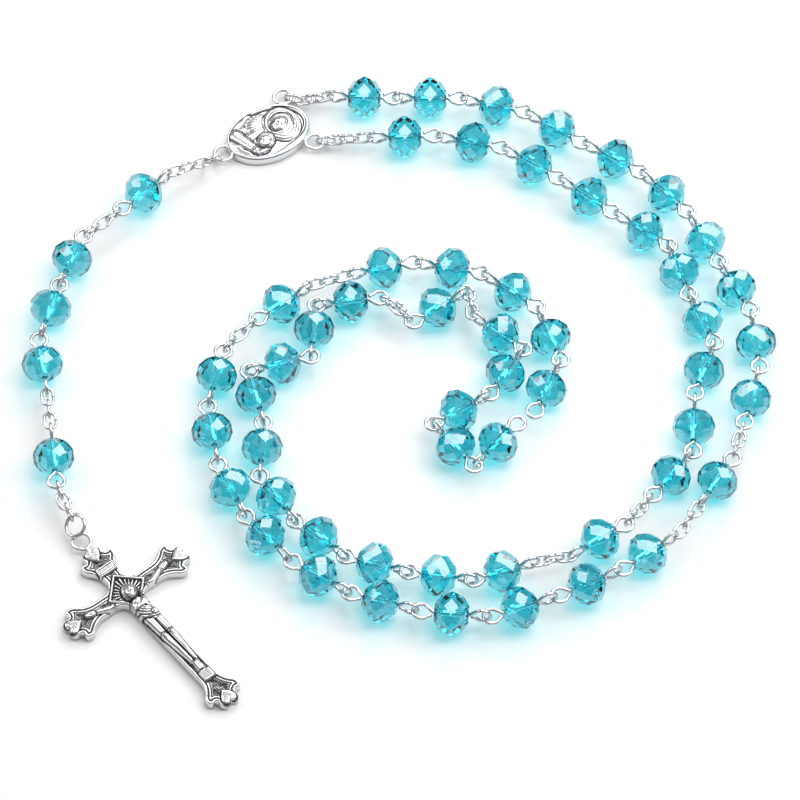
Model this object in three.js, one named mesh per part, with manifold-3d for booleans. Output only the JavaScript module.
// A five-decade rosary laid out on a flat surface. Millimetres, +Z up, the surface is z = 0.
// Two strands leave the medal side by side and wind inwards in a loose spiral; the pendant
// chain leaves the medal the other way and ends in the crucifix.
import * as THREE from 'three';
import { mergeVertices } from 'three/addons/utils/BufferGeometryUtils.js';
import Module from 'manifold-3d';

const wasm = await Module();
wasm.setup();

// ---- Driving dimensions --------------------------------------------------------------------

const BEAD_ACROSS = 8;
const BEAD_LENGTH = 6.2;
const BEAD_FACE_ACROSS = 3.8;
const BEAD_GIRDLE_LENGTH = 1.4;
const BEAD_HOLE = 1.3;
const BEAD_SIDES = 6;

const PIN_WIRE = 0.7;
const EYE_RADIUS = 1.5;
const EYE_SPACING = 10.95;
const EYE_STEPS = 6;

const LINK_WIRE = 0.6;
const LINK_BEND_RADIUS = 1.05;
const LINK_STRAIGHT = 1.4;
const LINK_STEPS = 6;

const JUMP_RING_WIRE = 0.7;
const JUMP_RING_RADIUS = 2.0;
const JUMP_RING_STEPS = 12;
const MEDAL_RING_TILT = 55;
const CROSS_RING_TILT = 38;

const EAR_WIRE = 0.7;
const EAR_RADIUS = 1.7;
const EAR_HEIGHT = 1.2;
const EAR_STEPS = 8;
const EAR_CLEARANCE = 0.3;
const HOOK_CLEARANCE = 0.15;
const HOOK_OVERLAP = 1.6;

const MEDAL_LENGTH = 17;
const MEDAL_WIDTH = 12.4;
const MEDAL_THICK = 2.0;
const MEDAL_RIM = 0.8;
const MEDAL_FIELD_THICK = 1.3;
const MEDAL_ANGLE = 30;
const MEDAL_CENTRE = [-25.1, 61.2];
const OUTER_EAR = [6.6, 6.2];
const INNER_EAR = [6.6, -6.2];
const PENDANT_EAR = [-9.8, 0];
const EAR_NECK = 3.2;
const EAR_NECK_RADIUS = 0.5;
// Swellings of the medal's relief: radius, centre and how each axis is stretched.
const VEILED_HEAD = { radius: 3.2, centre: [3.2, -0.4], stretch: [1, 0.85, 0.3] };
const CHILD_HEAD = { radius: 2.0, centre: [-0.6, -1.6], stretch: [1, 0.9, 0.4] };
const CLOAK = { radius: 3.6, centre: [-3.2, 0.6], stretch: [1, 0.9, 0.22] };

const CROSS_ANGLE = 39.5;
const CROSS_LIMB_WIDTH = 3.6;
const CROSS_LIMB_THICK = 1.8;
const CROSS_ABOVE = 9.0;
const CROSS_BELOW = 28.4;
const CROSS_HALF_SPAN = 11.3;
const CROSS_CENTRE = [-49.3, -43.1];
const CROSS_END_THICK = 2.2;
const END_HEART_RADIUS = 2.1;
const END_LOBE_RADIUS = 1.4;
const END_LOBE_OFFSET = 2.1;
const END_HEART_OUT = 0.4;
const END_LOBE_BACK = 0.9;
const RAY_PLATE = 5.8;
const PLATE_THICK = 0.6;
const TITLE_WIDTH = 3.4;
const TITLE_HEIGHT = 1.8;
const TITLE_PLACE = 5.3;
const FOOT_WIDTH = 2.6;
const FOOT_HEIGHT = 2.4;
const FOOT_PLACE = -23.0;
const FIGURE_LIFT = 0.5;
const HEAD_RADIUS = 1.35;
const HEAD_PLACE = -0.6;
const HEAD_LIFT = 0.3;
const SHOULDER_PLACE = -2.2;
const HAND_PLACE = [8.0, 1.0];
const ARM_RADII = [0.75, 0.5];
// The figure's trunk and legs downwards: where each starts and ends, and its two radii.
const CHEST = { from: -1.8, to: -8.4, radii: [1.7, 1.2] };
const HIPS = { from: -7.6, to: -11.2, radii: [1.6, 1.3] };
const LEGS = { from: -10.4, to: FOOT_PLACE, radii: [1.3, 0.7] };
const EMBED = 0.1;

const LINK_SWING = 35;
const BAIL_SWING = [-LINK_SWING, 20];
const RING_SWING = [-20, LINK_SWING];
const FLAT_EAR_SWING = [-5, LINK_SWING];
const WIRE_SIDES = 3;
const PIN_SIDES = 3;
const BALL_STEPS = 8;
const BAR_SIDES = 6;
const CURVE_STEPS = 12;
const SOLDER_RADIUS = 0.3;
const MERGE_DISTANCE = 1e-4;
const FLAT_WITHIN = 45;

const STRAND_HEIGHT = BEAD_ACROSS / 2;
const RAD = Math.PI / 180;

// ---- Lay of the strands --------------------------------------------------------------------
// A point is where two neighbours hook into each other, in order from the medal outwards.
// Beads are grouped into rigid nodes of so many beads; a chain is a rigid node unless loose.

const beads = (label, nodeSizes, ...points) => ({ kind: 'beads', label, nodeSizes, points });
const chain = (label, links, ...points) => ({ kind: 'chain', label, links, points });
const looseChain = (label, links, ...points) => ({ ...chain(label, links, ...points), loose: true });
const looseBeads = (label, ...points) => ({ ...beads(label, points.map(() => 1), ...points), loose: true });
const ring = (label, tilt, point) => ({ kind: 'ring', label, tilt, points: [point], loose: true });
const PAIRS = [2, 2, 2, 2, 2];

const OUTER_STRAND = {
  ear: OUTER_EAR,
  phase: 1,
  stretches: [
    chain('outer_medal_chain', 4, [-18.2, 68.6, 1.9], [-13.5, 68]),
    beads('decade_1', PAIRS, [-0.5, 67.5], [12, 67.5], [24.5, 64], [35, 56.5], [46, 49.5],
      [54.5, 40], [60, 28], [65.5, 17], [66.5, 4], [63, -8.5]),
    chain('chain_before_our_father_1', 3, [61, -15]),
    beads('our_father_1', [1], [54.5, -26]),
    chain('chain_after_our_father_1', 3, [50, -33]),
    beads('decade_2', PAIRS, [39.5, -40.5], [28, -46], [15.5, -50.5], [3, -49], [-9.5, -45],
      [-20, -38], [-28.5, -28], [-33.5, -16.5], [-35.5, -3.5], [-32.5, 9]),
    chain('chain_before_our_father_2', 3, [-27, 15]),
    beads('our_father_2', [1], [-17, 23]),
    chain('chain_after_our_father_2', 3, [-9, 26]),
    beads('decade_3_first_half', [2, 3], [3.5, 29], [16, 26], [26, 18], [30, 5.5], [24.5, -6]),
  ],
};

const INNER_STRAND = {
  ear: INNER_EAR,
  phase: 0,
  stretches: [
    { ...chain('inner_medal_chain', 4, [-5.5, 58]), range: FLAT_EAR_SWING },
    beads('decade_5', PAIRS, [7.5, 58.5], [20, 55.5], [30.5, 48], [40.5, 40], [51, 32],
      [54, 20.5], [58.5, 9.5], [54, -2], [53.5, -15], [45.5, -24.5]),
    chain('chain_after_our_father_4', 3, [41, -30]),
    beads('our_father_4', [1], [31, -37]),
    chain('chain_before_our_father_4', 3, [24, -38.5]),
    beads('decade_4', PAIRS, [12.5, -42.5], [1, -40.5], [-10.5, -37], [-19.5, -29], [-26, -19],
      [-25, -7], [-28, 4.5], [-16.5, 7], [-15.5, 19], [-3, 20.5]),
    chain('chain_after_our_father_3', 3, [1.5, 16]),
    beads('our_father_3', [1], [13, 22.5]),
    chain('chain_before_our_father_3', 3, [13.5, 16]),
    beads('decade_3_second_half', [2, 3], [23, 8.5], [16.5, -1.5], [5.5, -8.5], [14, -18], [22, -7.5]),
  ],
};

const PENDANT = {
  ear: PENDANT_EAR,
  phase: 0,
  stretches: [
    { ...ring('medal_ring', MEDAL_RING_TILT, [-37.5, 53, 2.8]), range: RING_SWING },
    looseChain('pendant_upper_link', 3, [-44, 49.5]),
    looseBeads('pendant_our_father', [-53, 40.5]),
    chain('pendant_upper_chain', 3, [-59, 35]),
    looseBeads('pendant_hail_mary', [-63.5, 23.5], [-66.5, 12], [-65, -1]),
    chain('pendant_lower_chain', 3, [-64, -9]),
    looseBeads('pendant_last', [-62.5, -22]),
    looseChain('crucifix_link', 3, [-59.5, -28.5, 3]),
    ring('crucifix_ring', CROSS_RING_TILT, [-57.7, -31.8, 2.4]),
  ],
};

// ---- Materials -----------------------------------------------------------------------------

const GLASS = { color: 0x2bb9d6, roughness: 0.05, metalness: 0.0 };
const SILVER = { color: 0xc9cccf, roughness: 0.22, metalness: 1.0 };
const OLD_SILVER = { color: 0xa9abac, roughness: 0.35, metalness: 1.0 };

// ---- Solids --------------------------------------------------------------------------------

const toSolid = (geometry) => {
  const bare = geometry.clone();
  bare.deleteAttribute('normal');
  bare.deleteAttribute('uv');
  const merged = mergeVertices(bare, MERGE_DISTANCE);
  const index = merged.index.array;
  const kept = [];
  for (let i = 0; i < index.length; i += 3) {
    const [a, b, c] = [index[i], index[i + 1], index[i + 2]];
    if (a !== b && b !== c && c !== a) kept.push(a, b, c);
  }
  return new wasm.Manifold(new wasm.Mesh({
    numProp: 3,
    vertProperties: new Float32Array(merged.attributes.position.array),
    triVerts: new Uint32Array(kept),
  }));
};

const join = (geometries) => geometries.map(toSolid).reduce((whole, next) => whole.add(next));

const toGeometry = (solid) => {
  const mesh = solid.getMesh();
  const geometry = new THREE.BufferGeometry();
  geometry.setAttribute('position', new THREE.BufferAttribute(new Float32Array(mesh.vertProperties), 3));
  geometry.setIndex(new THREE.BufferAttribute(new Uint32Array(mesh.triVerts), 1));
  geometry.computeVertexNormals();
  return geometry;
};

// A wire ring in the XY plane; straight pulls its two bends apart along X into a stadium.
const wireRing = (radius, wire, steps, straight = 0) => {
  const ring = new THREE.TorusGeometry(radius, wire / 2, WIRE_SIDES, steps);
  ring.rotateZ(Math.PI / steps);
  const places = ring.attributes.position;
  for (let i = 0; i < places.count; i += 1) {
    places.setX(i, places.getX(i) + (Math.sign(places.getX(i)) * straight) / 2);
  }
  return ring;
};

const rolled = (geometry, degrees, along = 0) => {
  geometry.rotateX(degrees * RAD);
  geometry.translate(along, 0, 0);
  return geometry;
};

// A straight round bar from one point to another.
const bar = (from, to, startRadius, endRadius, sides = BAR_SIDES) => {
  const start = new THREE.Vector3(...from);
  const run = new THREE.Vector3(...to).sub(start);
  const geometry = new THREE.CylinderGeometry(endRadius, startRadius, run.length(), sides);
  geometry.translate(0, run.length() / 2, 0);
  geometry.applyQuaternion(new THREE.Quaternion().setFromUnitVectors(
    new THREE.Vector3(0, 1, 0),
    run.clone().normalize(),
  ));
  geometry.translate(...from);
  return geometry;
};

// The rondelle is turned about X, its drilled axis, with one corner of its girdle lowest.
const beadSolid = (hole) => {
  const half = BEAD_LENGTH / 2;
  const face = BEAD_FACE_ACROSS / 2;
  const girdle = BEAD_GIRDLE_LENGTH / 2;
  const outline = [
    [hole / 2, -half], [face, -half], [BEAD_ACROSS / 2, -girdle],
    [BEAD_ACROSS / 2, girdle], [face, half], [hole / 2, half],
  ];
  if (hole > 0) outline.push([hole / 2, -half]);
  const bead = new THREE.LatheGeometry(outline.map(([x, y]) => new THREE.Vector2(x, y)), BEAD_SIDES);
  bead.rotateZ(-Math.PI / 2);
  return bead;
};

// An eye pin: a straight wire with a round eye at each end, the two eyes at right angles.
const pinParts = (roll) => {
  const straight = EYE_SPACING - 2 * EYE_RADIUS;
  const wire = new THREE.CylinderGeometry(PIN_WIRE / 2, PIN_WIRE / 2, straight, PIN_SIDES);
  wire.rotateZ(Math.PI / 2);
  return [
    wire,
    rolled(wireRing(EYE_RADIUS, PIN_WIRE, EYE_STEPS), roll, -EYE_SPACING / 2),
    rolled(wireRing(EYE_RADIUS, PIN_WIRE, EYE_STEPS), roll + 90, EYE_SPACING / 2),
  ];
};

// Each kind of piece: the radius of its end bends, their spacing, its wire and its parts.
const KINDS = {
  beads: {
    radius: EYE_RADIUS, spacing: EYE_SPACING, wire: PIN_WIRE, parts: pinParts,
  },
  chain: {
    radius: LINK_BEND_RADIUS, spacing: LINK_STRAIGHT, wire: LINK_WIRE,
    parts: (roll) => [rolled(wireRing(LINK_BEND_RADIUS, LINK_WIRE, LINK_STEPS, LINK_STRAIGHT), roll)],
  },
  ring: {
    radius: JUMP_RING_RADIUS, spacing: 0, wire: JUMP_RING_WIRE,
    parts: (roll) => [rolled(wireRing(JUMP_RING_RADIUS, JUMP_RING_WIRE, JUMP_RING_STEPS), roll)],
  },
  ear: { radius: EAR_RADIUS, spacing: 0, wire: EAR_WIRE + EAR_CLEARANCE },
};

// ---- Laying the strands --------------------------------------------------------------------

const UP = new THREE.Vector3(0, 0, 1);
const sideways = (direction) => UP.clone().cross(direction).normalize();

// How far apart the centres of two hooked bends lie, as near to the wish as they allow.
const hookDistance = (before, after, wish) => {
  const wires = (before.wire + after.wire) / 2 + HOOK_CLEARANCE;
  const longest = before.radius + after.radius - wires;
  const shortest = Math.abs(before.radius - after.radius) + wires;
  return THREE.MathUtils.clamp(wish, shortest, longest);
};

// The next piece hooks into a bend and heads for the target. A flat bend leaves its upright
// neighbour in line with it, and an upright one sets off on its own line at once.
const hookOn = (hook, kind, roll, target) => {
  const isFlat = Math.abs(roll % 180) < FLAT_WITHIN;
  const shape = KINDS[kind];
  const reach = shape.spacing + HOOK_OVERLAP / 2;
  const wish = target.distanceTo(hook.bend) - reach;
  const distance = hookDistance(KINDS[hook.kind], shape, wish);
  const towards = target.clone().sub(hook.bend).normalize();
  const lead = isFlat && hook.direction ? hook.direction : towards;
  const nearBend = hook.bend.clone().addScaledVector(lead, distance);
  const direction = shape.spacing > 0 ? target.clone().sub(nearBend).normalize() : lead.clone();
  if (!isFlat && shape.spacing > 0) direction.copy(towards);
  const farBend = nearBend.clone().addScaledVector(direction, shape.spacing);
  const contact = (KINDS[hook.kind].radius + distance - shape.radius) / 2;
  const anchor = hook.bend.clone().addScaledVector(lead, contact);
  const side = sideways(direction);
  const centre = nearBend.clone().add(farBend).multiplyScalar(0.5);
  const frame = new THREE.Matrix4()
    .makeBasis(direction, side, direction.clone().cross(side))
    .setPosition(centre);
  const parts = shape.parts?.(roll);
  const crossing = [
    hook.bend.clone().addScaledVector(lead, KINDS[hook.kind].radius),
    nearBend.clone().addScaledVector(lead, -shape.radius),
  ];
  const axis = sideways(lead);
  return { kind, frame, parts, anchor, crossing, centre, direction, axis, bend: farBend };
};

// The stations of a stretch: its points, at bead height unless they say, or even steps along
// a chain's curve.
const stationsOf = (stretch, start) => {
  const places = stretch.points.map(([x, y, z]) => new THREE.Vector3(x, y, z ?? STRAND_HEIGHT));
  if (stretch.kind !== 'chain') return places;
  return new THREE.CatmullRomCurve3([start, ...places]).getSpacedPoints(stretch.links).slice(1);
};

// ---- Assembly ------------------------------------------------------------------------------

const turnedFrame = ([x, y], degrees) => (
  new THREE.Matrix4().makeRotationZ(degrees * RAD).setPosition(x, y, 0)
);

const MEDAL_FRAME = turnedFrame(MEDAL_CENTRE, MEDAL_ANGLE);
const CROSS_FRAME = turnedFrame(CROSS_CENTRE, CROSS_ANGLE);

const assembly = new THREE.Group();

const addNode = (name, geometry, finish, frame, joint) => {
  const mesh = new THREE.Mesh(geometry, new THREE.MeshStandardMaterial(finish));
  mesh.name = name;
  frame.decompose(mesh.position, mesh.quaternion, mesh.scale);
  mesh.userData.joint = joint;
  assembly.add(mesh);
};

// Hinges alternate in sense along a strand, so that their shared limits make a gentle wave.
const WAVE = [1, -1, -1, 1];
let swings = 0;

const swing = (parent, { anchor, axis }, range = [-LINK_SWING, LINK_SWING]) => {
  const sense = WAVE[swings % WAVE.length];
  swings += 1;
  return { type: 'hinge', parent, anchor, axis: axis.clone().multiplyScalar(sense), range };
};

const spin = (parent, { centre, direction }) => ({
  type: 'spin', parent, anchor: centre, axis: direction,
});

// Several pieces as one rigid node: solder between the crossing wires holds each inner pair.
const joinPieces = (pieces) => {
  const home = pieces[0].frame.clone().invert();
  const geometries = pieces.flatMap((piece, i) => {
    const toHome = home.clone().multiply(piece.frame);
    const parts = piece.kind === 'beads' ? [...piece.parts, beadSolid(0)] : piece.parts;
    const placed = parts.map((part) => part.clone().applyMatrix4(toHome));
    if (i === 0) return placed;
    const [from, to] = piece.crossing.map((point) => point.clone().applyMatrix4(home).toArray());
    return [...placed, bar(from, to, SOLDER_RADIUS, SOLDER_RADIUS, WIRE_SIDES)];
  });
  return toGeometry(join(geometries));
};

// A loose stretch gives every piece its own node, and every bead turns on its pin.
const addLoose = (stretch, pieces, firstParent) => {
  let parent = firstParent;
  pieces.forEach((piece, i) => {
    const name = pieces.length > 1 ? `${stretch.label}_${i + 1}` : stretch.label;
    const wireName = stretch.kind === 'beads' ? `${name}_pin` : name;
    const hinge = swing(parent, piece, stretch.range);
    addNode(wireName, toGeometry(join(piece.parts)), SILVER, piece.frame, hinge);
    parent = wireName;
    if (stretch.kind === 'beads') {
      const bead = toGeometry(toSolid(beadSolid(BEAD_HOLE)));
      addNode(`${name}_bead`, bead, GLASS, piece.frame, spin(parent, piece));
    }
  });
  return parent;
};

// A joined stretch is cut into rigid nodes of the sizes that it asks for.
const addJoined = (stretch, pieces, firstParent) => {
  const sizes = stretch.nodeSizes ?? [stretch.links];
  let parent = firstParent;
  let first = 0;
  sizes.forEach((size, i) => {
    const own = pieces.slice(first, first + size);
    const span = `_beads_${first + 1}_to_${first + size}`;
    const name = `${stretch.label}${sizes.length > 1 ? span : ''}`;
    const finish = stretch.kind === 'beads' ? GLASS : SILVER;
    addNode(name, joinPieces(own), finish, own[0].frame, swing(parent, own[0], stretch.range));
    parent = name;
    first += size;
  });
  return parent;
};

// Lays one strand from an ear of the medal; what hooks on next gets the last bend and node.
const layStrand = (strand) => {
  swings = strand.phase;
  const bend = new THREE.Vector3(...strand.ear, EAR_HEIGHT).applyMatrix4(MEDAL_FRAME);
  let hook = { kind: 'ear', bend };
  let station = hook.bend;
  let parent = 'medal';
  let endsFlat = true;
  strand.stretches.forEach((stretch) => {
    const pieces = stationsOf(stretch, station).map((next) => {
      const roll = endsFlat ? 90 : 0;
      hook = hookOn(hook, stretch.kind, stretch.tilt ?? roll, next);
      if (stretch.kind !== 'beads') endsFlat = !endsFlat;
      station = next;
      return hook;
    });
    parent = stretch.loose ? addLoose(stretch, pieces, parent) : addJoined(stretch, pieces, parent);
  });
  return { hook, parent };
};

// ---- Medal ---------------------------------------------------------------------------------

const slab = (shape, depth) => (
  new THREE.ExtrudeGeometry(shape, { depth, bevelEnabled: false, curveSegments: CURVE_STEPS })
);

const oval = (length, width) => new THREE.Shape().absellipse(0, 0, length / 2, width / 2, 0, 2 * Math.PI);

const ball = (radius, [x, y, z], stretch = [1, 1, 1]) => {
  const geometry = new THREE.SphereGeometry(radius, BALL_STEPS, BALL_STEPS / 2);
  geometry.scale(...stretch);
  geometry.translate(x, y, z);
  return geometry;
};

const earRing = ([x, y]) => {
  const ear = wireRing(EAR_RADIUS, EAR_WIRE, EAR_STEPS);
  ear.translate(x, y, EAR_HEIGHT);
  return ear;
};

// A short neck from an ear's near side back towards the middle of what it is cast on.
const earNeck = ([x, y], [rootX, rootY] = [0, 0]) => {
  const out = new THREE.Vector2(x - rootX, y - rootY).normalize();
  const near = new THREE.Vector2(x, y).addScaledVector(out, -EAR_RADIUS - EMBED);
  const far = near.clone().addScaledVector(out, -EAR_NECK);
  const height = EAR_HEIGHT - EAR_NECK_RADIUS / 2;
  return bar([far.x, far.y, height], [near.x, near.y, height], EAR_NECK_RADIUS, EAR_NECK_RADIUS);
};

// The mother stands along +X, her head at the medal's upper end; the child leans on her.
const addMedal = () => {
  const ears = [OUTER_EAR, INNER_EAR, PENDANT_EAR].flatMap((ear) => [earRing(ear), earNeck(ear)]);
  const rim = oval(MEDAL_LENGTH, MEDAL_WIDTH);
  const field = oval(MEDAL_LENGTH - 2 * MEDAL_RIM, MEDAL_WIDTH - 2 * MEDAL_RIM);
  rim.holes.push(field);
  const parts = [
    slab(oval(MEDAL_LENGTH - MEDAL_RIM, MEDAL_WIDTH - MEDAL_RIM), MEDAL_FIELD_THICK),
    slab(rim, MEDAL_THICK),
    ...[VEILED_HEAD, CHILD_HEAD, CLOAK].map(({ radius, centre, stretch }) => (
      ball(radius, [...centre, MEDAL_FIELD_THICK], stretch)
    )),
    ...ears,
  ];
  addNode('medal', toGeometry(join(parts)), OLD_SILVER, MEDAL_FRAME, null);
};

// ---- Crucifix ------------------------------------------------------------------------------
// Its own frame: +Y towards the bail, the limbs cross at the origin, the flat back is z = 0.

const lobedEnd = ([x, y], degrees) => {
  const lobes = [
    [0, END_HEART_OUT, END_HEART_RADIUS],
    [-END_LOBE_OFFSET, -END_LOBE_BACK, END_LOBE_RADIUS],
    [END_LOBE_OFFSET, -END_LOBE_BACK, END_LOBE_RADIUS],
  ];
  return lobes.map(([across, out, radius]) => {
    const disc = new THREE.CylinderGeometry(radius, radius, CROSS_END_THICK, BALL_STEPS);
    disc.rotateX(Math.PI / 2);
    disc.translate(across, out, CROSS_END_THICK / 2);
    disc.rotateZ(degrees * RAD);
    disc.translate(x, y, 0);
    return disc;
  });
};

const box = ([width, height, thick], [x, y, z], turn = 0) => {
  const geometry = new THREE.BoxGeometry(width, height, thick);
  geometry.rotateZ(turn * RAD);
  geometry.translate(x, y, z + thick / 2);
  return geometry;
};

const addCrucifix = ({ hook, parent }) => {
  const bail = hookOn(hook, 'ear', 0, new THREE.Vector3(...CROSS_CENTRE, EAR_HEIGHT));
  const bailPlace = bail.bend.clone().applyMatrix4(CROSS_FRAME.clone().invert());
  const front = CROSS_LIMB_THICK;
  const figure = front + FIGURE_LIFT;
  const [handX, handY] = HAND_PLACE;
  const parts = [
    box([CROSS_LIMB_WIDTH, CROSS_ABOVE + CROSS_BELOW, front], [0, (CROSS_ABOVE - CROSS_BELOW) / 2, 0]),
    box([2 * CROSS_HALF_SPAN, CROSS_LIMB_WIDTH, front], [0, 0, 0]),
    ...lobedEnd([0, CROSS_ABOVE], 0),
    ...lobedEnd([0, -CROSS_BELOW], 180),
    ...lobedEnd([-CROSS_HALF_SPAN, 0], 90),
    ...lobedEnd([CROSS_HALF_SPAN, 0], -90),
    box([RAY_PLATE, RAY_PLATE, PLATE_THICK], [0, 0, front - EMBED], 45),
    box([TITLE_WIDTH, TITLE_HEIGHT, PLATE_THICK], [0, TITLE_PLACE, front - EMBED]),
    box([FOOT_WIDTH, FOOT_HEIGHT, PLATE_THICK], [0, FOOT_PLACE, front - EMBED]),
    ball(HEAD_RADIUS, [0, HEAD_PLACE, figure + HEAD_LIFT]),
    bar([0, SHOULDER_PLACE, figure], [handX, handY, front], ...ARM_RADII),
    bar([0, SHOULDER_PLACE, figure], [-handX, handY, front], ...ARM_RADII),
    bar([0, CHEST.from, figure], [0, CHEST.to, figure], ...CHEST.radii),
    bar([0, HIPS.from, figure], [0, HIPS.to, figure], ...HIPS.radii),
    bar([0, LEGS.from, figure], [0, LEGS.to, front], ...LEGS.radii),
  ];
  const bailEar = [bailPlace.x, bailPlace.y];
  parts.push(earRing(bailEar), earNeck(bailEar, [0, CROSS_ABOVE]));
  addNode('crucifix', toGeometry(join(parts)), OLD_SILVER, CROSS_FRAME, swing(parent, bail, BAIL_SWING));
};

addMedal();
addCrucifix(layStrand(PENDANT));
layStrand(OUTER_STRAND);
layStrand(INNER_STRAND);

// The origin is the middle of the layout, on the surface that it lies on.
const bounds = new THREE.Box3().setFromObject(assembly, true);
const middle = bounds.getCenter(new THREE.Vector3());
assembly.position.set(-middle.x, -middle.y, -bounds.min.z);

export default assembly;
